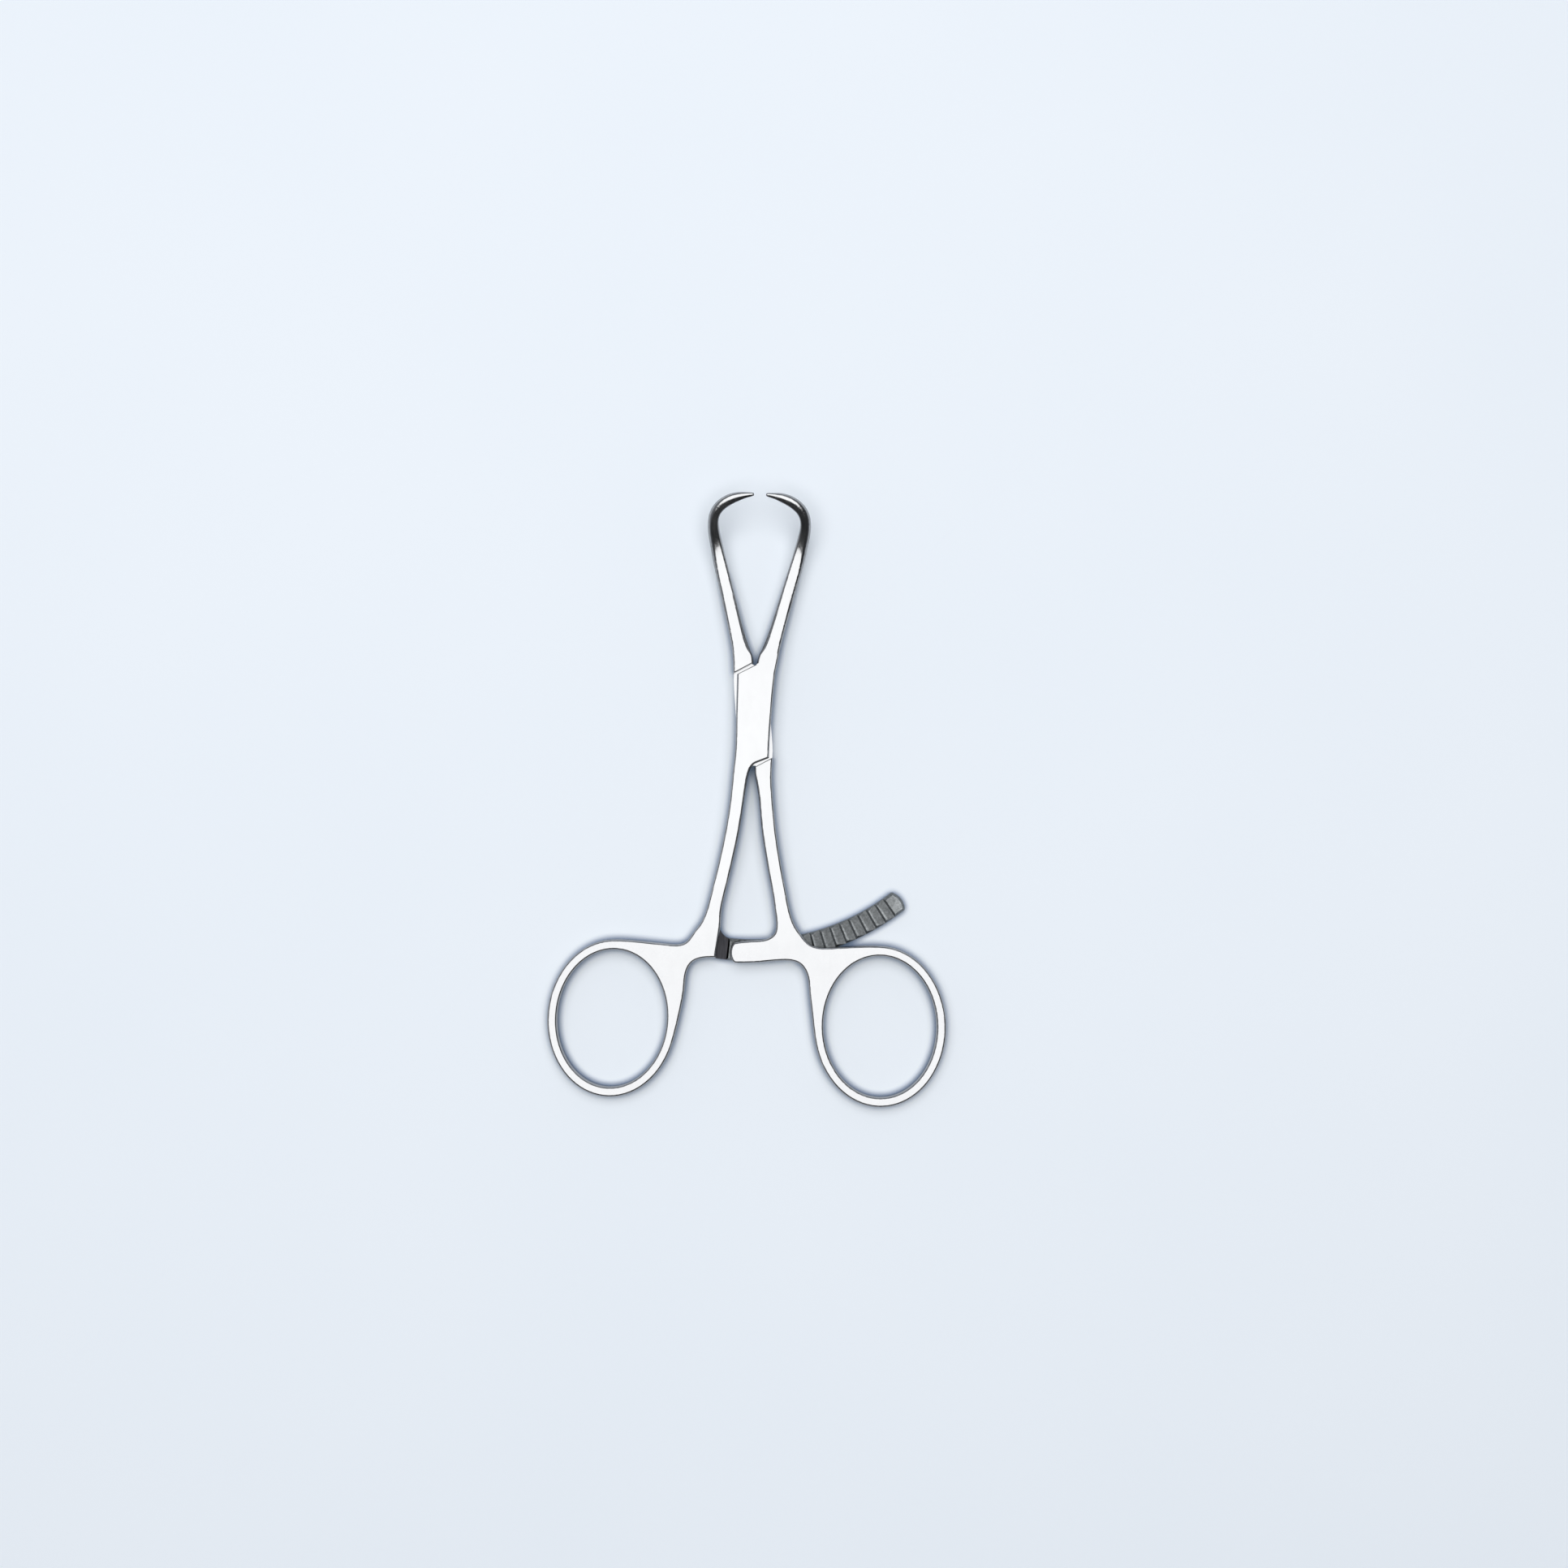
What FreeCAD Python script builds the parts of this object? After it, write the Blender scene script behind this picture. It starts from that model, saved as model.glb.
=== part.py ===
import FreeCAD, Part
import math
import os
from FreeCAD import Vector

os.makedirs("parts", exist_ok=True)

# The forceps lie on their back with the jaws pointing along +Y and the rings along -Y.
# X = 0 is the middle line, the pivot turns about the Z axis, and the back of the lock is z = 0.
# Lengths are millimetres and angles are degrees. A list of outline points gives x and y,
# unless its comment says that it gives the distance out from the middle line and then
# how far above or below the crossing, the level at which the bar runs under the catch.

# Lock: one arm is slotted, and the other runs through the slot as a thinner tongue
lock_thickness = 5.0
slot_height = 1.9
tongue_play = 0.05

# Lock outline
lock_left_edge = [(-3.8, 8.64), (-3.78, 0.0), (-3.8, -8.0)]
lock_right_edge = [(3.4, -8.8), (3.47, -4.5), (3.66, 0.0), (4.0, 6.0), (4.32, 9.5)]
upper_wall_end = [(0.25, 10.85), (-3.8, 8.64)]
lower_wall_end = [(0.65, -9.98), (3.4, -8.8)]
upper_shoulder = [(-4.62, 8.78), (-0.45, 11.2)]
lower_shoulder = [(0.42, -10.83), (4.22, -8.67)]
shoulder_spare = 1.5

# Slot outline: a seat at each hidden end, and open past the lock's two sides
slot_upper_seat = [(-0.6, 11.3), (0.35, 10.9), (4.9, 8.31), (6.0, 8.31)]
slot_lower_seat = [(0.6, -11.3), (-0.35, -10.9), (-4.9, -8.31), (-6.0, -8.31)]
slot_open_right = (6.0, -9.6)
slot_open_left = (-6.0, 9.6)

# Tongue outline
tongue_left_edge = [(-4.46, 9.6), (-4.5, 8.6), (-4.4, 6.0), (-4.02, 2.0), (-3.7, -2.0), (-3.6, -8.53)]
tongue_right_edge = [(4.06, -9.5), (4.12, -8.6), (4.1, -6.5), (3.74, -3.0), (3.5, 0.0), (3.6, 8.53)]
tongue_top_end = [(0.13, 10.5), (-0.6, 10.85), (-1.4, 11.5), (-3.6, 10.3)]
tongue_low_end = [(-0.13, -10.5), (0.6, -10.5), (1.4, -11.2), (3.6, -10.1)]

# Pivot pin
pin_radius = 1.6
pin_play = 0.05

# Rounding of the long edges, and of the edges where lock and shoulders face each other
edge_round = 0.5
gap_edge_round = 0.25

# Distance from the pivot down to the crossing
shank_length = 50.0

# Thickness of the arms, up from the back: thinning starts just below the lower shoulder
taper_start_drop = 1.17
crossing_thickness = 3.95
ring_end_thickness = 3.15
ring_end_spare = 2.0

# Shanks: middle line points as distance out and share of the shank length
shank_width = 3.0
shank_middle = [(2.98, 0.34), (3.83, 0.48), (4.89, 0.6), (5.71, 0.68), (6.58, 0.76)]

# Roots of the shanks at the lock, as distance out and y
root_outer = [(4.12, -12.0)]
slotted_root_inner = [(-0.05, -10.45), (0.5, -11.3), (0.85, -12.4), (1.08, -13.8)]
through_root_inner = [(0.52, -12.2), (0.86, -13.8)]

# Flare of the shanks into the webs, from the crossing
flare_outer = [(9.1, 8.0), (9.95, 6.0), (11.35, 4.0)]
flare_inner = [(5.72, 8.0)]

# Finger rings: middle from the crossing, half width and half height of the opening
left_ring_middle = (28.2, -14.8)
left_ring_opening = (11.6, 14.6)
right_ring_middle = (28.55, -14.95)
right_ring_opening = (11.95, 15.0)
ring_bar = 2.05
ring_lean_angle = 3.0
ring_arc_angles = (6.0, 254.0)

# Webs, out and up from the top of the ring, and necks, from the crossing
web_from_ring_top = [(-14.2, -0.1), (-10.2, -0.55), (-6.2, -0.25)]
left_ring_neck = [(13.55, -12.0), (12.98, -8.0), (12.55, -4.2)]
right_ring_neck = [(13.9, -12.0), (13.35, -8.0), (12.7, -4.3)]

# Ratchet bar on the slotted arm: an arc about the pivot, its middle just above the crossing
bar_middle_rise = 0.275
bar_width = 4.55
bar_thickness = 2.0
bar_bevel = 0.5
bar_end_bulge = 0.8
bar_end_angle = 39.6

# Step where the bar leaves its arm, and the stub beside it: how far past the bar's edges
step_angle = -7.4
seat_angle = -9.0
seat_inset = (0.45, 1.4)
stub_start_rise = 2.2
stub_top_rise = 1.6
stub_fillet_rise = 0.52
stub_fillet_angle = -6.25
stub_end_angle = -4.7
step_low_drop = 1.3
boss_low_corner = [(11.4, -2.35), (9.6, -1.55)]

# Ratchet teeth, with their pitch, steep face and level crest as angles about the pivot
tooth_count = 17
tooth_depth = 0.6
pitch_angle = 2.6
steep_angle = 0.5
crest_angle = 0.15
last_crest_angle = 37.2
notch_grow = 1.5
notch_overrun = 3.0

# Catch on the through arm, from the crossing
catch_tip = [(-2.3, -2.3), (-3.42, -1.0), (-3.46, 0.7), (-2.55, 2.02)]
catch_low_edge = [(11.1, -2.1), (7.5, -1.5), (3.0, -2.0)]
catch_top_edge = [(-1.5, 2.2), (1.5, 2.55), (4.4, 3.1), (5.6, 4.1), (5.95, 5.7)]
catch_tooth_count = 4
channel_angles = (-10.0, 30.0)
bar_side_gap = 0.6
bar_top_gap = 0.1

# Jaws: the root section above the upper shoulder, its inner and outer edge
jaw_root_rise = 1.8
jaw_root_inner = 0.8
jaw_root_outer = 4.92
jaw_root_inset = 0.02

# Middle line of a jaw: distance out, distance above the root, width and thickness
jaw_stations = [
    (3.48, 2.0, 3.50, 4.75),
    (4.31, 5.0, 3.15, 4.40),
    (5.12, 8.0, 3.03, 4.05),
    (5.92, 11.0, 2.98, 3.70),
    (6.72, 14.0, 2.90, 3.40),
    (7.53, 17.0, 2.87, 3.10),
    (8.32, 20.0, 2.75, 2.80),
    (9.03, 23.0, 2.55, 2.55),
    (9.58, 25.6, 2.38, 2.35),
    (9.70, 27.5, 2.22, 2.20),
    (9.38, 29.1, 2.16, 2.15),
    (8.60, 30.35, 2.17, 2.10),
    (7.35, 31.4, 2.15, 2.05),
    (5.90, 32.15, 2.00, 1.90),
    (4.30, 32.65, 1.62, 1.60),
    (2.80, 32.92, 1.08, 1.10),
    (1.55, 33.06, 0.66, 0.70),
]
jaw_bend_start = 15.0
jaw_bend_length = 10.0
jaw_bend_slope = 0.475

# Rounding of the jaws as a share of their section, from the root to the hook
inner_corner_shares = (0.3, 0.16)
outer_corner_shares = (0.15, 0.47)
hook_full_station = 11
tip_dome_angles = [35.0, 62.0]

# Worked out from the sizes above
middle_z = lock_thickness / 2
tongue_thickness = slot_height - 2 * tongue_play
taper_start_y = lower_shoulder[0][1] - taper_start_drop
ring_reach = right_ring_opening[1] + ring_bar + ring_end_spare - right_ring_middle[1]
ring_end_y = -shank_length - ring_reach
jaw_root_y = upper_shoulder[1][1] + jaw_root_rise
bar_middle_radius = shank_length - bar_middle_rise
bar_inner_radius = bar_middle_radius - bar_width / 2
bar_outer_radius = bar_middle_radius + bar_width / 2
steep_width = math.radians(steep_angle) * bar_middle_radius * notch_grow
ramp_angle = pitch_angle - steep_angle - crest_angle
ramp_width = math.radians(ramp_angle) * bar_middle_radius * notch_grow
UP = Vector(0, 0, 1)
TALL = 2 * lock_thickness


def point(xy, z=0.0):
    return Vector(xy[0], xy[1], z)


def unit(dx, dy):
    size = math.hypot(dx, dy)
    return (dx / size, dy / size)


def polar(radius, angle):
    """A place about the pivot, its angle measured from straight down towards +X."""
    turn = math.radians(angle)
    return (radius * math.sin(turn), -radius * math.cos(turn))


def on_side(side, points):
    """Outward distances become x on the right (1) or on the left (-1)."""
    return [(side * out, y) for out, y in points]


def at_crossing(side, points):
    """The same for points whose second number counts from the crossing."""
    return [(side * out, up - shank_length) for out, up in points]


def at_level(spot, way, y):
    """Where a line from a place reaches a level."""
    return (spot[0] + way[0] * (y - spot[1]) / way[1], y)


def straight(points):
    return [
        Part.LineSegment(point(start), point(end)).toShape()
        for start, end in zip(points, points[1:])
    ]


def smooth(points, start=None, end=None):
    """A curve through the points; its end directions are given where it has to flow on."""
    spline = Part.BSplineCurve()
    places = [point(xy) for xy in points]
    if start and end:
        first, last = point(unit(*start)), point(unit(*end))
        spline.interpolate(Points=places, InitialTangent=first, FinalTangent=last, Scale=False)
    else:
        spline.interpolate(Points=places)
    return [spline.toShape()]


def arc_about_pivot(radius, start_angle, end_angle):
    middle_angle = (start_angle + end_angle) / 2
    spots = [point(polar(radius, angle)) for angle in (start_angle, middle_angle, end_angle)]
    return [Part.Arc(*spots).toShape()]


def prism(edges, low, high):
    """The closed outline, raised from one height to another."""
    face = Part.Face(Part.Wire(Part.__sortEdges__(edges)))
    face.translate(UP * low)
    return face.extrude(UP * (high - low))


class Ring:
    """A leaning ellipse. Its angles run from the top, outwards and round."""

    def __init__(self, side, middle, opening):
        lean = math.radians(ring_lean_angle)
        self.middle = point(at_crossing(side, [middle])[0])
        self.across, self.along = opening
        self.top_way = Vector(-side * math.sin(lean), math.cos(lean), 0)
        self.out_way = Vector(side * math.cos(lean), math.sin(lean), 0)

    def ellipse(self, grow):
        tall = self.middle + self.top_way * (self.along + grow)
        wide = self.middle + self.out_way * (self.across + grow)
        return Part.Ellipse(tall, wide, self.middle)

    def place(self, angle, grow):
        turn = math.radians(angle)
        up = self.top_way * ((self.along + grow) * math.cos(turn))
        out = self.out_way * ((self.across + grow) * math.sin(turn))
        spot = self.middle + up + out
        return (spot.x, spot.y)

    def direction(self, angle, grow):
        turn = math.radians(angle)
        up = self.top_way * (-(self.along + grow) * math.sin(turn))
        out = self.out_way * ((self.across + grow) * math.cos(turn))
        return unit((up + out).x, (up + out).y)

    def arc(self, angles, grow):
        start, end = (math.radians(angle) for angle in angles)
        return [Part.ArcOfEllipse(self.ellipse(grow), start, end).toShape()]

    def hole(self):
        wire = Part.Wire([self.ellipse(0).toShape()])
        return Part.Face(wire).extrude(UP * TALL)


def shank_edge(side, offset):
    return on_side(side, [(out + offset, -share * shank_length) for out, share in shank_middle])


def outer_arm_edge(side, ring, start_points, start_way):
    """From the lock down the outside of the shank, over the web and round the ring."""
    top = ring.place(0, ring_bar)
    web = [(top[0] + side * out, top[1] + down) for out, down in web_from_ring_top]
    points = start_points + on_side(side, root_outer) + shank_edge(side, shank_width / 2)
    points += at_crossing(side, flare_outer) + web + [ring.place(ring_arc_angles[0], ring_bar)]
    edge = smooth(points, start_way, ring.direction(ring_arc_angles[0], ring_bar))
    return edge + ring.arc(ring_arc_angles, ring_bar)


def neck_edge(side, ring, neck, low_corner, last, last_way):
    """From the inner side of the ring up its neck and round to the underside of the boss."""
    start = ring.place(ring_arc_angles[1], ring_bar)
    points = [start] + at_crossing(side, neck + low_corner) + [last]
    return smooth(points, ring.direction(ring_arc_angles[1], ring_bar), last_way)


def side_profile():
    """The arms seen from the side: flat over the lock, then thinning towards the rings."""
    flow = Part.BSplineCurve()
    crossing = Vector(0, -shank_length, crossing_thickness)
    ring_end = Vector(0, ring_end_y, ring_end_thickness)
    flow.interpolate(
        Points=[
            Vector(0, taper_start_y, lock_thickness),
            crossing,
            ring_end,
        ],
        InitialTangent=Vector(0, -1, 0),
        FinalTangent=(ring_end - crossing).normalize(),
        Scale=False,
    )
    corners = [
        ring_end,
        Vector(0, ring_end_y, 0),
        Vector(0, jaw_root_y, 0),
        Vector(0, jaw_root_y, lock_thickness),
        Vector(0, taper_start_y, lock_thickness),
    ]
    edges = [Part.LineSegment(a, b).toShape() for a, b in zip(corners, corners[1:])]
    face = Part.Face(Part.Wire([flow.toShape()] + edges))
    face.translate(Vector(ring_end_y, 0, 0))
    return face.extrude(Vector(-2 * ring_end_y, 0, 0))


def on_segment(spot, segment):
    start, end = point(segment[0]), point(segment[1])
    way = end - start
    share = (Vector(spot.x, spot.y, 0) - start).dot(way) / way.dot(way)
    foot = start + way * share
    return foot.distanceToPoint(Vector(spot.x, spot.y, 0)) < 1e-3 and -0.01 < share < 1.01


def round_long_edges(solid, sharp):
    """Round the outline at its top and bottom, apart from the segments that stay sharp."""
    chosen = []
    for edge in solid.Edges:
        first, last = edge.Vertexes[0].Point, edge.Vertexes[-1].Point
        middle = edge.valueAt((edge.FirstParameter + edge.LastParameter) / 2)
        upright = len(edge.Vertexes) == 2 and math.hypot(first.x - last.x, first.y - last.y) < 1e-6
        across_top = abs(first.y - taper_start_y) + abs(last.y - taper_start_y) < 1e-3
        if upright or across_top or any(on_segment(middle, segment) for segment in sharp):
            continue
        chosen.append(edge)
    return solid.makeFillet(edge_round, chosen)


def trim(solid, segment):
    """Cut off, square to the back, all that lies to the right of a segment."""
    start, end = point(segment[0]), point(segment[1])
    reach = (end - start) * 0.5
    out = (end - start).cross(UP)
    corners = [start - reach, end + reach, end + reach + out, start - reach + out]
    face = Part.Face(Part.makePolygon([corner - UP for corner in corners + corners[:1]]))
    return solid.cut(face.extrude(UP * TALL))


def ease(solid, segment):
    """Round the top and bottom edge of one straight wall that has its solid on the left."""
    start, end = point(segment[0]), point(segment[1])
    along = (end - start).normalize()
    inward = UP.cross(along)
    for height, down in ((lock_thickness, -1), (0, 1)):
        corner = start + UP * height

        def spot(inside, deep):
            return corner + inward * (inside * gap_edge_round) + UP * (down * deep * gap_edge_round)

        bulge = 1 - math.sqrt(0.5)
        edges = [Part.Arc(spot(1, 0), spot(bulge, bulge), spot(0, 1)).toShape()]
        outside = [spot(0, 1), spot(-1, 1), spot(-1, -1), spot(1, -1), spot(1, 0)]
        edges += [Part.LineSegment(a, b).toShape() for a, b in zip(outside, outside[1:])]
        length = (end - start).Length + 2 * gap_edge_round
        solid = solid.cut(Part.Face(Part.Wire(edges)).extrude(along * length))
    return solid


def slotted_blank():
    """Right jaw root, lock and left shank with its ring, in one outline."""
    ring = Ring(-1, left_ring_middle, left_ring_opening)
    step_low_radius = (shank_length + step_low_drop) / math.cos(math.radians(step_angle))
    step_top_radius = bar_inner_radius - stub_start_rise
    step = [polar(step_top_radius, step_angle), polar(step_low_radius, step_angle)]
    step_way = unit(step[1][0] - step[0][0], step[1][1] - step[0][1])
    root = [(jaw_root_outer, jaw_root_y), (jaw_root_inner, jaw_root_y)]
    edges = outer_arm_edge(-1, ring, lock_left_edge, (0, -1))
    edges += neck_edge(-1, ring, left_ring_neck, boss_low_corner, step[1], (1, 0))
    edges += straight(step)
    inner = [lower_wall_end[0]] + on_side(-1, slotted_root_inner) + shank_edge(-1, -shank_width / 2)
    inner += at_crossing(-1, flare_inner) + [step[0]]
    edges += smooth(inner, (-1, -0.45), step_way)
    edges += straight(lower_wall_end)
    edges += smooth(lock_right_edge + [root[0]], (0, 1), (0.16, 1))
    edges += straight(root)
    edges += smooth([root[1], upper_wall_end[0]], (-0.4, -1), (-0.25, -1))
    edges += straight(upper_wall_end)
    blank = prism(edges, -1, TALL).common(side_profile()).cut(ring.hole())
    rounded = round_long_edges(blank, [step, root, lower_wall_end, upper_wall_end])
    return ease(ease(rounded, upper_wall_end), lower_wall_end)


def through_shank():
    """Right shank with its ring and the catch, up to the lower shoulder of the lock."""
    ring = Ring(1, right_ring_middle, right_ring_opening)
    tip = at_crossing(1, catch_tip)
    level = lower_shoulder[1][1] + shoulder_spare
    cap = [at_level(lower_shoulder[0], (-0.25, 1), level), at_level(lower_shoulder[1], (0.02, 1), level)]
    edges = outer_arm_edge(1, ring, [cap[1], lower_shoulder[1]], (-0.02, -1))
    edges += neck_edge(1, ring, right_ring_neck, catch_low_edge, tip[0], (-1, 0))
    edges += smooth(tip, (-1, 0), (1, 0.15))
    inner = [tip[-1]] + at_crossing(1, catch_top_edge + flare_inner)
    inner += shank_edge(1, -shank_width / 2)[::-1] + on_side(1, through_root_inner)[::-1]
    inner += [lower_shoulder[0], cap[0]]
    edges += smooth(inner, (1, 0.15), (-0.25, 1))
    edges += straight(cap)
    blank = prism(edges, -1, TALL).common(side_profile()).cut(ring.hole())
    shoulder = lower_shoulder[::-1]
    return ease(trim(round_long_edges(blank, [cap]), shoulder), shoulder)


def through_jaw_root():
    """The left jaw's root, from the upper shoulder of the lock."""
    root = [(-jaw_root_inner, jaw_root_y), (-jaw_root_outer, jaw_root_y)]
    level = upper_shoulder[0][1] - shoulder_spare
    cap = [at_level(upper_shoulder[0], (0.02, -1), level), at_level(upper_shoulder[1], (0.2, -1), level)]
    edges = straight(cap)
    edges += smooth([cap[1], upper_shoulder[1], root[0]], (-0.2, 1), (-0.4, 1))
    edges += straight(root)
    edges += smooth([root[1], upper_shoulder[0], cap[0]], (0.16, -1), (0.02, -1))
    rounded = round_long_edges(prism(edges, 0, lock_thickness), [cap, root])
    return ease(trim(rounded, upper_shoulder), upper_shoulder)


def tongue():
    """The thin middle of the through arm, which joins its jaw root to its shank."""
    edges = smooth(tongue_left_edge)
    edges += straight([tongue_left_edge[-1]] + tongue_low_end + [tongue_right_edge[0]])
    edges += smooth(tongue_right_edge)
    edges += straight([tongue_right_edge[-1]] + tongue_top_end + [tongue_left_edge[0]])
    low = middle_z - tongue_thickness / 2
    return prism(edges, low, low + tongue_thickness)


def slot():
    corners = slot_upper_seat + [slot_open_right] + slot_lower_seat + [slot_open_left]
    low = middle_z - slot_height / 2
    return prism(straight(corners + corners[:1]), low, low + slot_height)


def pin(play=0.0):
    return Part.makeCylinder(pin_radius + play, lock_thickness)


def section(middle, ahead, facing, width, thickness, left_corner, right_corner):
    """A rounded rectangle square to the way ahead, with its top turned the way it faces."""
    across = ahead.cross(facing).normalize()
    up = across.cross(ahead).normalize()
    half_width, half_height = width / 2, thickness / 2

    def spot(right, high):
        return middle + across * right + up * high

    edges = []
    for right, high in ((1, 1), (-1, 1), (-1, -1), (1, -1)):
        corner = right_corner if right > 0 else left_corner
        bulge = corner * (1 - math.sqrt(0.5))
        side = spot(right * half_width, high * (half_height - corner))
        diagonal = spot(right * (half_width - bulge), high * (half_height - bulge))
        flat = spot(right * (half_width - corner), high * half_height)
        first, last = (side, flat) if right * high > 0 else (flat, side)
        if edges:
            edges.append(Part.LineSegment(edges[-1].Vertexes[-1].Point, first).toShape())
        edges.append(Part.Arc(first, diagonal, last).toShape())
    last, first = edges[-1].Vertexes[-1].Point, edges[0].Vertexes[0].Point
    return Part.Wire(edges + [Part.LineSegment(last, first).toShape()])


def jaw_bend(along):
    """Height of the bent-up jaw over the plane of the lock, and its slope, above the root."""
    past = min(max(along - jaw_bend_start, 0.0), jaw_bend_length)
    beyond = max(along - jaw_bend_start - jaw_bend_length, 0.0)
    slope = jaw_bend_slope * past / jaw_bend_length
    return slope * past / 2 + jaw_bend_slope * beyond, slope


def jaw_corners(side, place, size):
    """Left and right rounding: wider inside on the straight part, and outside on the hook."""
    hooked = min(place / hook_full_station, 1.0)
    shares = [
        start + (end - start) * hooked
        for start, end in (inner_corner_shares, outer_corner_shares)
    ]
    return [share * size for share in shares[::side]]


def jaw(side):
    """A tapering jaw that bows out, bends up as a whole and hooks in to a blunt point."""
    path = [Vector(side * (jaw_root_inner + jaw_root_outer) / 2, jaw_root_y, middle_z)]
    facings = [UP]
    for out, along, _, _ in jaw_stations:
        height, slope = jaw_bend(along)
        path.append(Vector(side * out, jaw_root_y + along, middle_z + height))
        facings.append(Vector(0, -slope, 1))
    root_width = jaw_root_outer - jaw_root_inner - 2 * jaw_root_inset
    root_height = lock_thickness - 2 * jaw_root_inset
    root_corners = (edge_round, edge_round)
    wires = [section(path[0], Vector(0, 1, 0), UP, root_width, root_height, *root_corners)]
    for place, (_, _, width, thickness) in enumerate(jaw_stations, 1):
        following = path[min(place + 1, len(path) - 1)]
        ahead = (following - path[place - 1]).normalize()
        corners = jaw_corners(side, place, min(width, thickness))
        wires.append(section(path[place], ahead, facings[place], width, thickness, *corners))
    for turn in tip_dome_angles:
        tip = path[-1] + ahead * (width / 2 * math.sin(math.radians(turn)))
        shrink = math.cos(math.radians(turn))
        dome = (width * shrink, thickness * shrink)
        wires.append(section(tip, ahead, facings[-1], *dome, *jaw_corners(side, place, min(dome))))
    return Part.makeLoft(wires, True, False)


def notch(angle, corners):
    """A bar that points out from the pivot; its corners are across and height at that angle."""
    near = -(bar_inner_radius - notch_overrun)
    outline = [Vector(across, near, height) for across, height in corners]
    face = Part.Face(Part.makePolygon(outline + outline[:1]))
    solid = face.extrude(Vector(0, bar_inner_radius - bar_outer_radius - 2 * notch_overrun, 0))
    solid.rotate(Vector(0, 0, 0), UP, angle)
    return solid


def tooth_cuts():
    """One notch beside each crest: a steep face on its left, then a ramp or a floor to the seat."""
    low = bar_thickness - tooth_depth
    high = low + tooth_depth * notch_grow
    cuts = []
    for tooth in range(tooth_count):
        valley = last_crest_angle - tooth * pitch_angle - steep_angle
        left = [(-ramp_width, high)]
        if tooth == tooth_count - 1:
            floor_width = math.radians(valley - seat_angle) * bar_outer_radius
            left = [(-floor_width, high), (-floor_width, low)]
        cuts.append(notch(valley, [(0, low), (steep_width, high)] + left))
    return cuts


def catch_cuts():
    """The catch's teeth match the bar's, cut up into its underside so that it runs clear."""
    high = bar_thickness + bar_top_gap + tooth_depth
    low = high - tooth_depth * notch_grow
    first_crest = last_crest_angle - (tooth_count - 2) * pitch_angle
    corners = [(0, high), (ramp_width, low), (-steep_width, low)]
    return [notch(first_crest + tooth * pitch_angle, corners) for tooth in range(catch_tooth_count)]


def ratchet_bar():
    bulge = bar_end_angle + math.degrees(bar_end_bulge / bar_outer_radius)
    end = [polar(bar_outer_radius, bar_end_angle), polar(bar_inner_radius, bar_end_angle)]
    end_middle = polar(bar_middle_radius, bulge)
    stub_top = polar(bar_inner_radius - stub_top_rise, step_angle)
    stub_fillet = polar(bar_inner_radius - stub_fillet_rise, stub_fillet_angle)
    seat = [
        polar(bar_inner_radius - seat_inset[0], seat_angle),
        polar(bar_outer_radius - seat_inset[1], seat_angle),
    ]
    edges = arc_about_pivot(bar_outer_radius, step_angle, bar_end_angle)
    edges += [Part.Arc(point(end[0]), point(end_middle), point(end[1])).toShape()]
    edges += arc_about_pivot(bar_inner_radius, bar_end_angle, stub_end_angle)
    stub = [polar(bar_inner_radius, stub_end_angle), stub_fillet, stub_top]
    edges += smooth(stub, polar(1.0, stub_end_angle - 90), (-0.35, 1))
    edges += straight([stub_top] + seat + [polar(bar_outer_radius, step_angle)])
    bar = prism(edges, 0, bar_thickness)
    curved = [edge for edge in bar.Edges if edge.Curve.TypeId != "Part::GeomLine"]
    top_edges = [edge for edge in curved if edge.BoundBox.ZMin > bar_thickness - 0.01]
    return bar.makeChamfer(bar_bevel, top_edges).cut(tooth_cuts())


def bar_channel():
    """The curved passage through which the ratchet bar slides under the catch."""
    inner, outer = bar_inner_radius - bar_side_gap, bar_outer_radius + bar_side_gap
    start, end = channel_angles
    edges = arc_about_pivot(outer, start, end)
    edges += straight([polar(outer, end), polar(inner, end)])
    edges += arc_about_pivot(inner, end, start)
    edges += straight([polar(inner, start), polar(outer, start)])
    return prism(edges, -1, bar_thickness + bar_top_gap)


def box_arm():
    arm = slotted_blank().fuse([jaw(1), ratchet_bar()])
    return arm.cut([slot(), pin()]).removeSplitter()


def through_arm():
    shank = through_shank().cut([bar_channel()] + catch_cuts())
    arm = shank.fuse([tongue(), through_jaw_root(), jaw(-1)])
    return arm.cut(pin(pin_play)).removeSplitter()


box_arm().exportStep("parts/box_arm.step")
through_arm().exportStep("parts/through_arm.step")
pin().exportStep("parts/pivot_pin.step")
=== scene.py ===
# %% [markdown]
# # Bone reduction forceps, seen from above
# Two forged steel arms cross in a box lock. Each arm is one piece from jaw tip to finger ring,
# so this lesson makes no new shapes. It takes the exact solids, gives them a skin whose shading
# runs smoothly over every rounded edge, and then works on what the eye sees: satin steel, narrow
# sides painted a shade darker, a rougher and darker ratchet whose root is painted in deep shade,
# fine grinding marks, and a studio in which polished metal reads as metal. All lengths are in
# metres.

# %% Load the model
import bpy
import math
import numpy as np
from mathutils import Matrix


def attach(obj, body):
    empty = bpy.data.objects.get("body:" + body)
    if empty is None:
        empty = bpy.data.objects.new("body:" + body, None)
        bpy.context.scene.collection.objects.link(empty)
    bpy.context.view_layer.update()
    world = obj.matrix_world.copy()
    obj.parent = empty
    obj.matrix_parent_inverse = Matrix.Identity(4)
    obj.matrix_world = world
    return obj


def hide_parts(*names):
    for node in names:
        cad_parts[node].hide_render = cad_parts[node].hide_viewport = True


MM_PER_METRE = 1000

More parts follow.
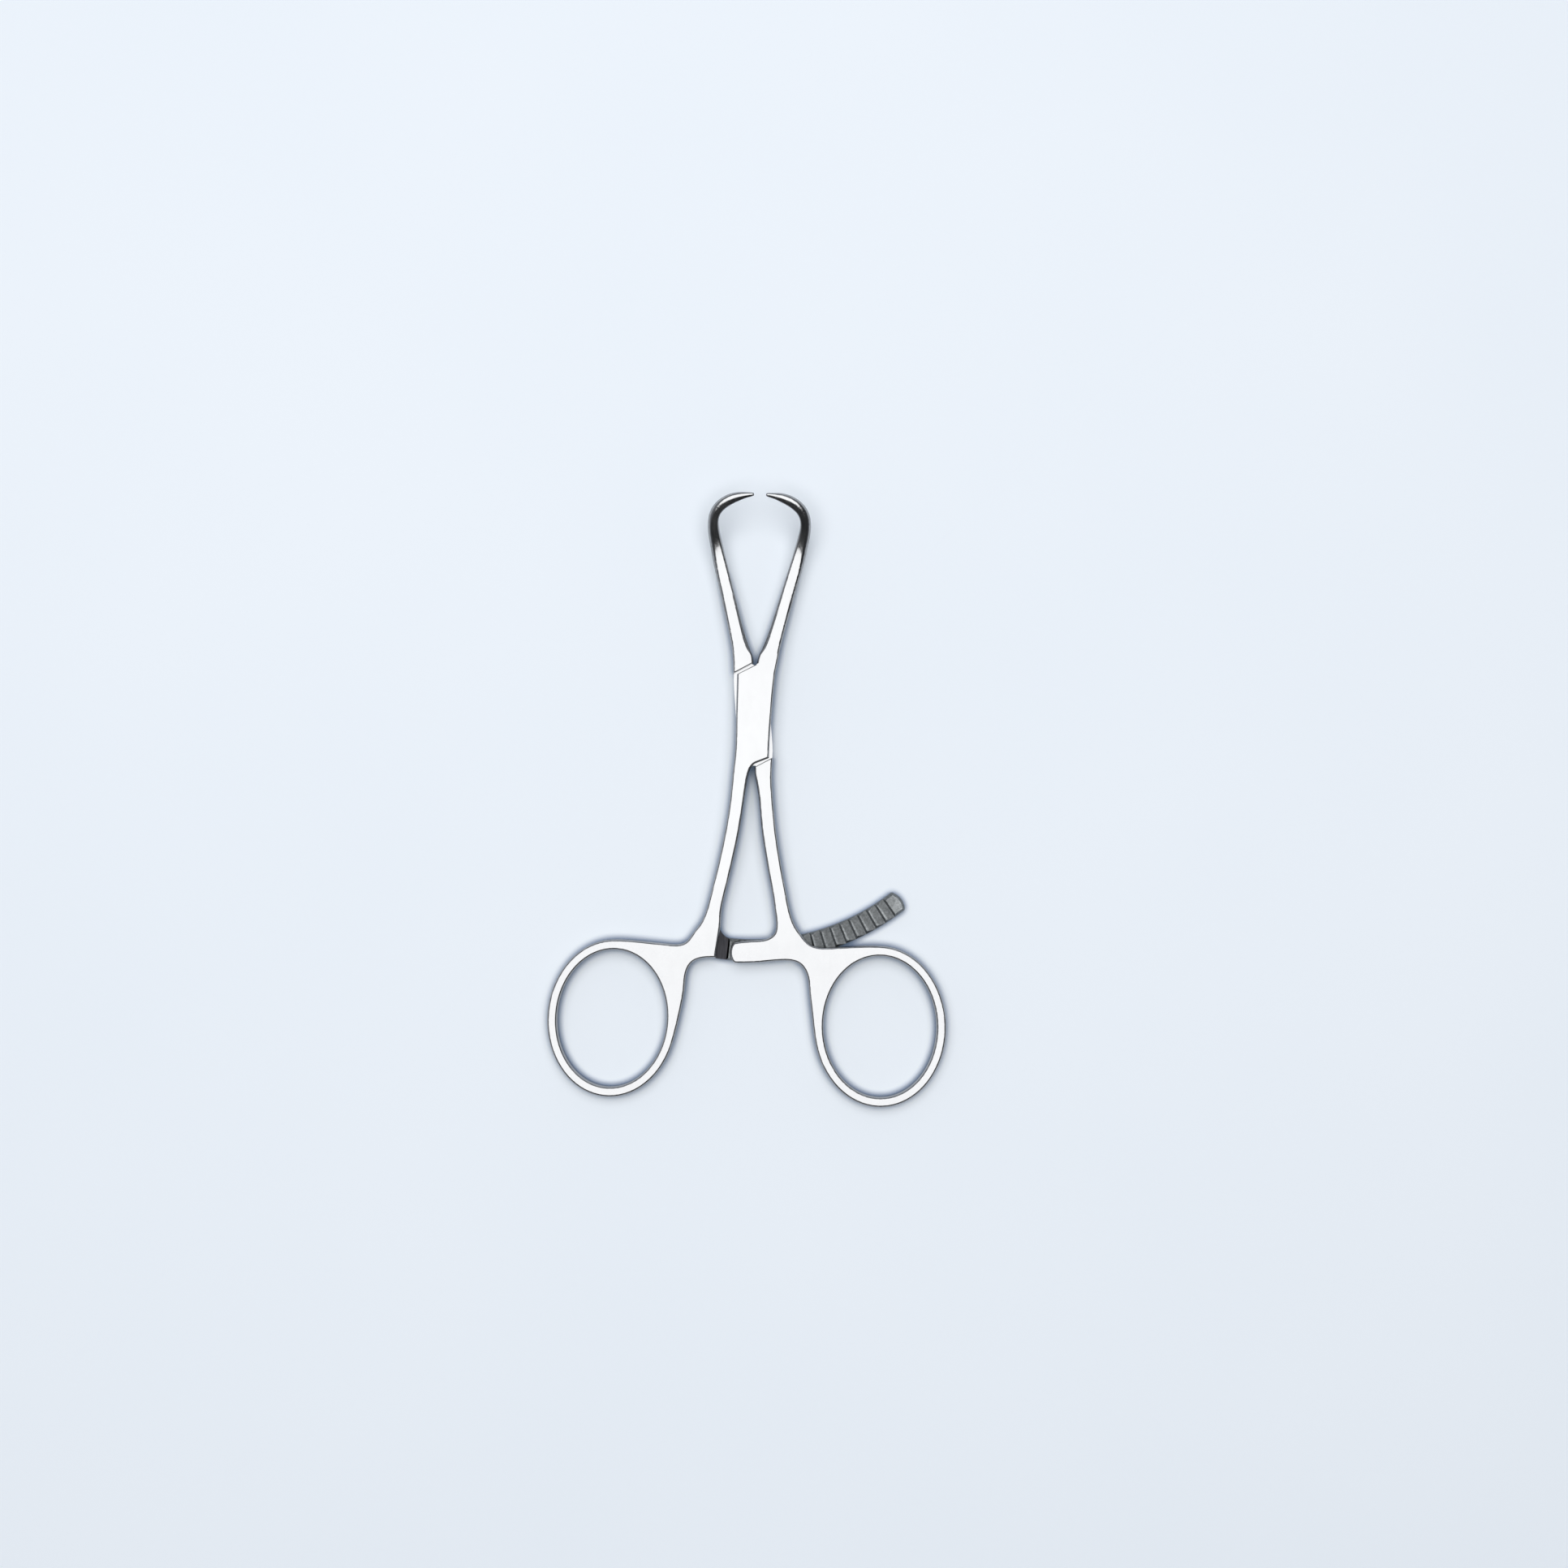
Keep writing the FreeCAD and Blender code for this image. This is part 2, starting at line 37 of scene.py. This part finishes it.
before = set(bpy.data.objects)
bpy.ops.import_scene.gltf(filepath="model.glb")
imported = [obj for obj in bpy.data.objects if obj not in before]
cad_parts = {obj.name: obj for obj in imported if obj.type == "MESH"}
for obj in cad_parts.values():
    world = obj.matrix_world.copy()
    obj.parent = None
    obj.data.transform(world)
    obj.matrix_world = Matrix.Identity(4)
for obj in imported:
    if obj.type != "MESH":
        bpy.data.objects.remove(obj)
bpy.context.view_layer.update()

# %% [markdown]
# ## Reading the solids
# A node arrives in patches of triangles, one patch for each face of the solid. Two patches meet
# at a seam but share no corner there, so each corner on a seam comes twice and the shading can't
# run across. Polished steel shows every such break. Welding equal corners into one vertex is
# the first step to a smooth skin, and numpy finds equal rows in one call.

# %% Read and weld the nodes
WELD_STEP = 1e-7


def read_triangles(node):
    """Corner places, one row per corner, and the three corner numbers of each triangle."""
    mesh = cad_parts[node].data
    mesh.calc_loop_triangles()
    places = np.empty(len(mesh.vertices) * 3)
    mesh.vertices.foreach_get("co", places)
    corners = np.empty(len(mesh.loop_triangles) * 3, np.int32)
    mesh.loop_triangles.foreach_get("vertices", corners)
    return places.reshape(-1, 3), corners.reshape(-1, 3)


def weld(places, triangles):
    """Corners that round to the same multiple of the weld step become one vertex.

    A triangle whose three corners are no longer three vertices is left out.
    """
    keys = np.round(places / WELD_STEP).astype(np.int64)
    _, first, number = np.unique(keys, axis=0, return_index=True, return_inverse=True)
    welded = number.reshape(-1)[triangles]
    a, b, c = welded.T
    whole = (a != b) & (b != c) & (c != a)
    return places[first], welded[whole]


solids = {}
for name in sorted(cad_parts):
    patch_places, patch_triangles = read_triangles(name)
    solids[name] = weld(patch_places, patch_triangles)
    vertices, triangles_left = (len(rows) for rows in solids[name])
    print(name, "corners", len(patch_places), "welded to", vertices, "triangles", triangles_left)

# %% [markdown]
# ## Normals that keep flats flat
# If every vertex simply averaged its faces, the wide flat of a shank would pick up a false
# curve from the rounded edge beside it, and its reflection would swim. So each corner averages
# only the faces that turn less than a chosen angle from its own, and each face counts by the
# angle it fills at the vertex, which long thin triangles can't upset. A level face counts many
# times more, so the flats stay dead flat up to the rounding.

# %% Normals and angles of the triangles
SMOOTH_ANGLE = math.radians(32)
FLAT_WEIGHT = 400.0
LEVEL_FACE = 0.9992
SHORTEST = 1e-18


def unit(arrows):
    """Each arrow divided by its own length."""
    return arrows / np.maximum(np.linalg.norm(arrows, axis=-1), SHORTEST)[..., None]


def face_normals(places, triangles):
    """The cross product of two sides, brought to length one."""
    a, b, c = (places[triangles[:, side]] for side in range(3))
    return unit(np.cross(b - a, c - a))


def corner_angles(places, triangles):
    """The angle between the sides towards the next corner and back to the last one."""
    onward = unit(places[triangles[:, (1, 2, 0)]] - places[triangles])
    back = -onward[:, (2, 0, 1)]
    return np.arccos(np.clip((onward * back).sum(axis=2), -1, 1))


# %% One normal for every corner
def corner_pairs(vertex, vertices):
    """Every pair of corners that meet at one vertex, each corner with itself among them.

    Sorted by vertex, the corners of one vertex stand in a row. Each corner is written down once
    for every corner in its row, and the place within the row gives its partner.
    """
    order = np.argsort(vertex, kind="stable")
    start = np.searchsorted(vertex[order], np.arange(vertices + 1))
    repeats = np.diff(start)[vertex]
    corner = np.repeat(np.arange(len(vertex)), repeats)
    within = np.arange(len(corner)) - np.repeat(np.cumsum(repeats) - repeats, repeats)
    return corner, order[start[vertex[corner]] + within]


def corner_normals(places, triangles):
    """The weighted sum of the normals of all faces at the vertex that turn less than the angle."""
    normals = face_normals(places, triangles)
    level = np.where(np.abs(normals[:, 2]) > LEVEL_FACE, FLAT_WEIGHT, 1.0)
    weight = (corner_angles(places, triangles) * level[:, None]).reshape(-1)
    of_corner = np.repeat(normals, 3, axis=0)
    corner, other = corner_pairs(triangles.reshape(-1), len(places))
    cosine = np.einsum("ij,ij->i", of_corner[corner], of_corner[other])
    near = cosine > math.cos(SMOOTH_ANGLE)
    share = of_corner[other] * (weight[other] * near)[:, None]
    sums = [np.bincount(corner, share[:, axis], len(of_corner)) for axis in range(3)]
    return unit(np.stack(sums, axis=1))


# %% A skin for a node
def skin(node, body):
    """The welded triangles of a node with their corner normals, riding on the node's body."""
    places, triangles = solids[node]
    mesh = bpy.data.meshes.new(node + "_skin")
    mesh.from_pydata(places.tolist(), [], triangles.tolist())
    mesh.update()
    mesh.shade_smooth()
    mesh.normals_split_custom_set(corner_normals(places, triangles).tolist())
    piece = bpy.data.objects.new(node + "_skin", mesh)
    bpy.context.scene.collection.objects.link(piece)
    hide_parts(node)
    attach(piece, body)
    top = round(MM_PER_METRE * places[:, 2].max(), 2)
    print(piece.name, "faces", len(mesh.polygons), "height mm", top)
    return piece


# %% [markdown]
# ## Satin steel
# Instrument steel is neither mirror nor matte: fine belt marks run along the arms and spread
# each highlight a little. The marks are a fine noise fed to a shallow bump, stretched along Y
# on the broad faces and upright on the narrow sides. A second, slow noise changes the roughness
# from place to place, as handling and washing do, and a third carries the colour from light to
# dark.

# %% Noise and ranges
NOISE_MIDDLE = (0.3, 0.7)


def new_material(name):
    """An empty node material, with the lists that its nodes and links go into."""
    material = bpy.data.materials.new(name)
    material.use_nodes = True
    return material, material.node_tree.nodes, material.node_tree.links


def stretched_noise(nodes, links, place, waves, detail):
    """Noise on Object coordinates, each axis multiplied by its own number of waves per metre."""
    mapping = nodes.new("ShaderNodeMapping")
    mapping.inputs["Scale"].default_value = waves
    links.new(place, mapping.inputs["Vector"])
    noise = nodes.new("ShaderNodeTexNoise")
    noise.inputs["Scale"].default_value = 1.0
    noise.inputs["Detail"].default_value = detail
    links.new(mapping.outputs["Vector"], noise.inputs["Vector"])
    return noise.outputs["Fac"]


def between(nodes, links, value, low, high, span=NOISE_MIDDLE):
    """The value's way through the span becomes the way from low to high, and no further."""
    spread = nodes.new("ShaderNodeMapRange")
    for socket, number in zip(("From Min", "From Max", "To Min", "To Max"), (*span, low, high)):
        spread.inputs[socket].default_value = number
    links.new(value, spread.inputs["Value"])
    return spread.outputs["Result"]


# %% Values and colours brought together
def combined(nodes, links, operation, first, second):
    """Two values brought together by one operation, such as the larger one or their product."""
    step = nodes.new("ShaderNodeMath")
    step.operation = operation
    links.new(first, step.inputs[0])
    links.new(second, step.inputs[1])
    return step.outputs["Value"]


def socket_of(sockets, name, kind):
    """The one socket of that name whose kind fits, since a mix node has a set for each kind."""
    return next(socket for socket in sockets if socket.name == name and socket.type == kind)


def blended(nodes, links, share, first, second):
    """A colour on its way from first to second, each of them a fixed colour or another socket."""
    mix = nodes.new("ShaderNodeMix")
    mix.data_type = "RGBA"
    for name, colour in (("A", first), ("B", second)):
        socket = socket_of(mix.inputs, name, "RGBA")
        if isinstance(colour, tuple):
            socket.default_value = colour
        else:
            links.new(colour, socket)
    links.new(share, socket_of(mix.inputs, "Factor", "VALUE"))
    return socket_of(mix.outputs, "Result", "RGBA")


# %% A steel finish
MICRON = 1e-6
CLOUD_WAVES = (160, 110, 160)
CLOUD_DETAIL = 3.0
WIPE_WAVES = (420, 260, 420)
WIPE_DETAIL = 4.0
MARK_DETAIL = 5.0


def steel(name, light, dark, roughness, mark_waves, mark_depth, cloud_waves=CLOUD_WAVES):
    """Metal whose colour, roughness and bump each follow a noise of their own size."""
    material, nodes, links = new_material(name)
    surface = nodes["Principled BSDF"]
    surface.inputs["Metallic"].default_value = 1.0
    place = nodes.new("ShaderNodeTexCoord").outputs["Object"]
    clouds = stretched_noise(nodes, links, place, cloud_waves, CLOUD_DETAIL)
    colour = blended(nodes, links, between(nodes, links, clouds, 0, 1), light, dark)
    links.new(colour, surface.inputs["Base Color"])
    wiped = stretched_noise(nodes, links, place, WIPE_WAVES, WIPE_DETAIL)
    links.new(between(nodes, links, wiped, *roughness), surface.inputs["Roughness"])
    marks = stretched_noise(nodes, links, place, mark_waves, MARK_DETAIL)
    bump = nodes.new("ShaderNodeBump")
    bump.inputs["Strength"].default_value = 1.0
    bump.inputs["Distance"].default_value = mark_depth
    links.new(marks, bump.inputs["Height"])
    links.new(bump.outputs["Normal"], surface.inputs["Normal"])
    return material


# %% The four finishes
satin_steel = steel(
    "satin_steel", light=(0.425, 0.428, 0.433, 1), dark=(0.408, 0.411, 0.417, 1),
    roughness=(0.14, 0.20), mark_waves=(9000, 900, 9000), mark_depth=1.5 * MICRON
)
# The side finish is rougher, and its darker colour is painted shade that deepens the dark lines
# along the rounded edges.
side_shade_steel = steel(
    "side_shade_steel", light=(0.34, 0.343, 0.349, 1), dark=(0.31, 0.313, 0.32, 1),
    roughness=(0.18, 0.26), mark_waves=(5000, 5000, 900), mark_depth=2 * MICRON
)
ratchet_steel = steel(
    "ratchet_steel", light=(0.29, 0.305, 0.31, 1), dark=(0.16, 0.17, 0.175, 1),
    roughness=(0.42, 0.6), mark_waves=(2600, 2600, 2600), mark_depth=8 * MICRON,
    cloud_waves=(2200, 2200, 2200)
)
# Near black for the ratchet's root: painted shade of the narrow recess between the step and the
# catch.
root_shade_steel = steel(
    "root_shade_steel", light=(0.038, 0.038, 0.042, 1), dark=(0.02, 0.02, 0.023, 1),
    roughness=(0.3, 0.42), mark_waves=(5000, 600, 5000), mark_depth=6 * MICRON,
    cloud_waves=(3000, 240, 3000)
)
FINISHES = (satin_steel, side_shade_steel, ratchet_steel, root_shade_steel)
SATIN, SIDE, RATCHET, ROOT_SHADE = range(len(FINISHES))
print("finishes:", [finish.name for finish in FINISHES])

# %% [markdown]
# Towards the rings the broad faces are painted a shade darker, as painted shade, broken up by a
# fine noise. The share of the darker colour is a product: how far along the arm a place lies,
# times a fine noise.

# %% Painted shade towards the rings
RING_SHADE_FROM_TO = (-0.036, -0.050)
RING_SHADE_COLOUR = (0.392, 0.395, 0.402, 1)
GRAIN_WAVES = (5200, 5200, 5200)
GRAIN_DETAIL = 2.0
GRAIN_LEAST = 0.3


def shaded_towards_rings(material, start_y, end_y, darker):
    """From start_y on, painted shade darkens the base colour by a share that is whole at end_y,
    broken up by a fine noise.
    """
    nodes, links = material.node_tree.nodes, material.node_tree.links
    base = nodes["Principled BSDF"].inputs["Base Color"]
    plain = base.links[0].from_socket
    place = nodes.new("ShaderNodeTexCoord").outputs["Object"]
    way = nodes.new("ShaderNodeSeparateXYZ")
    links.new(place, way.inputs["Vector"])
    reached = between(nodes, links, way.outputs["Y"], 1, 0, (end_y, start_y))
    grain = stretched_noise(nodes, links, place, GRAIN_WAVES, GRAIN_DETAIL)
    uneven = between(nodes, links, grain, GRAIN_LEAST, 1)
    share = combined(nodes, links, "MULTIPLY", reached, uneven)
    links.new(blended(nodes, links, share, plain, darker), base)


# Painted shade: the broad faces darken towards the rings.
shaded_towards_rings(satin_steel, *RING_SHADE_FROM_TO, RING_SHADE_COLOUR)

# %% [markdown]
# ## Dressing the arms
# The broad faces are ground bright. Every face that leans more than 45 degrees takes the side
# finish, which is rougher and painted a shade darker: painted shade that deepens the dark lines
# along the rounded edges. The ratchet bar takes a rougher, darker finish too, and its root, which
# only the gap beside the catch shows, is painted near black as the shade of that narrow recess.
# Both lie in one ring-shaped band about the pivot, low down, so a radius, a height and an angle
# about the pivot, counted from straight towards the rings, pick their faces out.

# %% Skins and their finishes
BAND_RADIUS = (0.0440, 0.0530)
BAND_TOP = 0.00212
BAND_ANGLES = (-7.45, 45.0)
ROOT_ANGLE = -4.65
SIDE_LEAN = 0.707


def ratchet_zones(places, triangles):
    """The number of the near-black root finish, painted shade of the recess, where a face's middle
    lies at the band's root.

    In the rest of the band it is the ratchet's number, and outside it is 0.
    """
    middle = places[triangles].mean(axis=1)
    radius = np.hypot(middle[:, 0], middle[:, 1])
    angle = np.degrees(np.arctan2(middle[:, 0], -middle[:, 1]))
    ring = (radius > BAND_RADIUS[0]) & (radius < BAND_RADIUS[1])
    turn = (angle > BAND_ANGLES[0]) & (angle < BAND_ANGLES[1])
    band = ring & turn & (middle[:, 2] < BAND_TOP)
    return np.where(band & (angle < ROOT_ANGLE), ROOT_SHADE, RATCHET * band)


def dress(node, body, toothed=False):
    """Side finish, rougher and with painted shade, where a face's normal lies nearer to level than
    the limit, else satin steel.

    On the toothed arm the zones of the ratchet go over that.
    """
    piece = skin(node, body)
    places, triangles = solids[node]
    # Faces leaning past the limit take the side finish with its painted shade.
    zones = np.where(np.abs(face_normals(places, triangles)[:, 2]) < SIDE_LEAN, SIDE, SATIN)
    if toothed:
        # The ratchet's zones, with the painted shade at its root.
        band_zones = ratchet_zones(places, triangles)
        zones = np.where(band_zones > 0, band_zones, zones)
    for finish in FINISHES:
        piece.data.materials.append(finish)
    piece.data.polygons.foreach_set("material_index", zones.astype(np.int32))
    counts = np.bincount(zones, minlength=len(FINISHES)).tolist()
    print(piece.name, "faces in each finish", counts)


dress("box_arm", "box_side", toothed=True)
dress("through_arm", "through_side")
dress("pivot_pin", "box_side")

# %% [markdown]
# ## The floor
# The board is pale and a little blue. Light reaches the narrow wedge beside a rounded edge badly,
# so close to the steel a painted shadow makes the board deeper and bluer, by how open the place
# is to the room.
# The board also glows, faintly near the forceps and more far out, where the lamp no longer
# reaches, so that it meets the pale horizon of the room without a dark strip. The glow is there
# for the eye only, seen straight or in the steel, and lights nothing else.

# %% Floor helpers
FLOOR_HALF = 3.0
FLOOR_DROP = 0.00002
CONTACT_REACH = 0.0014
OCCLUSION_RAYS = 8


def seen(nodes, links):
    """1 where the camera sees a surface, itself or in metal or glass, and else 0."""
    path = nodes.new("ShaderNodeLightPath").outputs
    in_metal = combined(nodes, links, "MAXIMUM", path["Is Camera Ray"], path["Is Glossy Ray"])
    return combined(nodes, links, "MAXIMUM", in_metal, path["Is Transmission Ray"])


def openness(nodes, reach):
    """The share of directions above a place that meet nothing within reach."""
    occlusion = nodes.new("ShaderNodeAmbientOcclusion")
    occlusion.samples = OCCLUSION_RAYS
    occlusion.inputs["Distance"].default_value = reach
    return occlusion.outputs["AO"]


def distance_out(nodes, links, place):
    """How far a place is from the pivot: the length of the arrow to it."""
    distance = nodes.new("ShaderNodeVectorMath")
    distance.operation = "LENGTH"
    links.new(place, distance.inputs[0])
    return distance.outputs["Value"]


# %% Board material
BOARD_COLOURS = ((0.87, 0.915, 0.965, 1), (0.89, 0.93, 0.975, 1))
BOARD_ROUGHNESS = 0.85
BOARD_SHEEN = 0.1
MOTTLE_WAVES = (9, 9, 9)
MOTTLE_DETAIL = 2.0
CONTACT_SHADOW_COLOUR = (0.12, 0.18, 0.32, 1)
CONTACT_FROM_TO = (0.4, 0.95)
GLOW_COLOURS = ((0.60, 0.80, 1.0, 1), (0.85, 0.90, 0.97, 1))
GLOW_STRENGTHS = (0.07, 0.72)
GLOW_FROM_TO = (0.25, 1.7)


def board_material():
    """Two pale colours in a faint slow mottle, a painted contact shadow, and a glow that grows
    outward.
    """
    material, nodes, links = new_material("pale_board")
    surface = nodes["Principled BSDF"].inputs
    surface["Roughness"].default_value = BOARD_ROUGHNESS
    surface["Specular IOR Level"].default_value = BOARD_SHEEN
    place = nodes.new("ShaderNodeTexCoord").outputs["Object"]
    mottle = stretched_noise(nodes, links, place, MOTTLE_WAVES, MOTTLE_DETAIL)
    pale = blended(nodes, links, between(nodes, links, mottle, 0, 1), *BOARD_COLOURS)
    open_share = between(nodes, links, openness(nodes, CONTACT_REACH), 0, 1, CONTACT_FROM_TO)
    # Painted shadow: close to the steel the board takes the deep blue contact colour.
    links.new(blended(nodes, links, open_share, CONTACT_SHADOW_COLOUR, pale), surface["Base Color"])
    far = between(nodes, links, distance_out(nodes, links, place), 0, 1, GLOW_FROM_TO)
    links.new(blended(nodes, links, far, *GLOW_COLOURS), surface["Emission Color"])
    glow = between(nodes, links, far, *GLOW_STRENGTHS, (0, 1))
    strength = combined(nodes, links, "MULTIPLY", seen(nodes, links), glow)
    links.new(strength, surface["Emission Strength"])
    return material


# %% The board
def pale_floor():
    """One square face just under the plane on which the forceps rest."""
    square = np.array([(-1, -1, 0), (1, -1, 0), (1, 1, 0), (-1, 1, 0)])
    corners = FLOOR_HALF * square - (0, 0, FLOOR_DROP)
    mesh = bpy.data.meshes.new("floor")
    mesh.from_pydata(corners.tolist(), [], [(0, 1, 2, 3)])
    mesh.materials.append(board_material())
    floor = bpy.data.objects.new("floor", mesh)
    bpy.context.scene.collection.objects.link(floor)
    print("floor", 2 * FLOOR_HALF, "m wide")


pale_floor()

# %% [markdown]
# ## The room
# Polished metal shows its surroundings more than its own colour, so the room is painted on the
# world by direction: grey on the jaw side and the left, dark on the ring side and the right, and
# pale along the horizon, where a side view looks past the floor. Rounded edges and the raised
# hooks look into the dark part, and so they turn dark.

# %% World
BRIGHT_SIDE = (-0.5, 0.85, 0.0)
SIDE_FROM_TO = (-0.35, 0.25)
ROOM_TINT = (0.93, 0.98, 1.07)
RING_SIDE_LEVELS = (
    (0.0, 0.8), (0.12, 0.74), (0.2, 0.14), (0.5, 0.1), (0.65, 0.03), (0.85, 0.03), (0.95, 0.1)
)
OTHER_SIDE_LEVELS = ((0.0, 0.8), (0.12, 0.74), (0.2, 0.35), (0.6, 0.28), (0.9, 0.1))


def ramp(nodes, links, value, stops):
    """Grey levels at given positions of a value from 0 to 1, joined smoothly, a little blue.

    A new stop may start anywhere, because each one is then moved to its own position.
    """
    ramp_node = nodes.new("ShaderNodeValToRGB")
    elements = ramp_node.color_ramp.elements
    while len(elements) < len(stops):
        elements.new(0.5)
    for element, (position, level) in zip(elements, stops):
        element.position = position
        element.color = (*(level * share for share in ROOM_TINT), 1)
    ramp_node.color_ramp.interpolation = "EASE"
    links.new(value, ramp_node.inputs["Fac"])
    return ramp_node.outputs["Color"]


def paint_room():
    """Mix two height ramps by how far the direction points to the bright side of the room."""
    world = bpy.data.worlds.new("room")
    bpy.context.scene.world = world
    world.use_nodes = True
    nodes, links = world.node_tree.nodes, world.node_tree.links
    direction = nodes.new("ShaderNodeTexCoord").outputs["Generated"]
    way = nodes.new("ShaderNodeSeparateXYZ")
    links.new(direction, way.inputs["Vector"])
    ring_side = ramp(nodes, links, way.outputs["Z"], RING_SIDE_LEVELS)
    other_side = ramp(nodes, links, way.outputs["Z"], OTHER_SIDE_LEVELS)
    facing = nodes.new("ShaderNodeVectorMath")
    facing.operation = "DOT_PRODUCT"
    facing.inputs[1].default_value = BRIGHT_SIDE
    links.new(direction, facing.inputs[0])
    side = between(nodes, links, facing.outputs["Value"], 0, 1, SIDE_FROM_TO)
    colour = blended(nodes, links, side, ring_side, other_side)
    links.new(colour, nodes["Background"].inputs["Color"])
    print("world levels", RING_SIDE_LEVELS, OTHER_SIDE_LEVELS)


paint_room()

# %% [markdown]
# ## The lamp
# A large soft round lamp hangs overhead, a little towards the jaws and the left. Every level
# face mirrors it and comes out nearly white. Its edge lies at an angle whose tangent is its
# radius over its height, and a face that tilts by about half of that angle mirrors only the edge.

# %% Lamp
LAMP_HEIGHT = 1.0
LAMP_SIZE = 1.44
LAMP_SHIFT = (-0.06, 0.2)
LAMP_POWER = 11.5


def soft_lamp():
    """A disk that shines straight down from its height, shifted from over the pivot."""
    lamp = bpy.data.lights.new("soft_lamp", "AREA")
    lamp.shape = "DISK"
    lamp.size = LAMP_SIZE
    lamp.energy = LAMP_POWER
    holder = bpy.data.objects.new("soft_lamp", lamp)
    holder.location = (*LAMP_SHIFT, LAMP_HEIGHT)
    bpy.context.scene.collection.objects.link(holder)
    reach = math.degrees(math.atan(LAMP_SIZE / 2 / LAMP_HEIGHT))
    print("lamp reaches", round(reach, 1), "degrees from straight up")


soft_lamp()

# %% [markdown]
# ## Camera
# The picture was taken straight down, so the camera hangs over the middle of the picture and
# is only turned about its own axis. Its distance and angle of view make the instrument's plane
# fall at the photograph's scale.

# %% Place the camera
METRES_PER_PIXEL = 0.0001712
PICTURE_PIXELS = 1932
PIVOT_PIXEL = (929, 882)
LEAN = math.radians(1.674)
CAMERA_RISE = 0.430
FACE_HEIGHT = 0.004
CLIP_START = 0.01


def camera_over_picture():
    """The picture's middle, turned by the lean and scaled from pixels, is the place below.

    The angle of view is twice the angle whose tangent is half the picture over the rise.
    """
    right = PICTURE_PIXELS / 2 - PIVOT_PIXEL[0]
    up = PIVOT_PIXEL[1] - PICTURE_PIXELS / 2
    x = METRES_PER_PIXEL * (right * math.cos(LEAN) - up * math.sin(LEAN))
    y = METRES_PER_PIXEL * (right * math.sin(LEAN) + up * math.cos(LEAN))
    camera = bpy.data.cameras.new("camera")
    camera.sensor_fit = "HORIZONTAL"
    camera.angle = 2 * math.atan(PICTURE_PIXELS * METRES_PER_PIXEL / 2 / CAMERA_RISE)
    camera.clip_start = CLIP_START
    holder = bpy.data.objects.new("camera", camera)
    holder.location = (x, y, FACE_HEIGHT + CAMERA_RISE)
    holder.rotation_euler = (0, 0, LEAN)
    bpy.context.scene.collection.objects.link(holder)
    bpy.context.scene.camera = holder
    print("camera over", round(MM_PER_METRE * x, 2), round(MM_PER_METRE * y, 2), "mm")


camera_over_picture()
bpy.context.scene.view_settings.view_transform = "Standard"
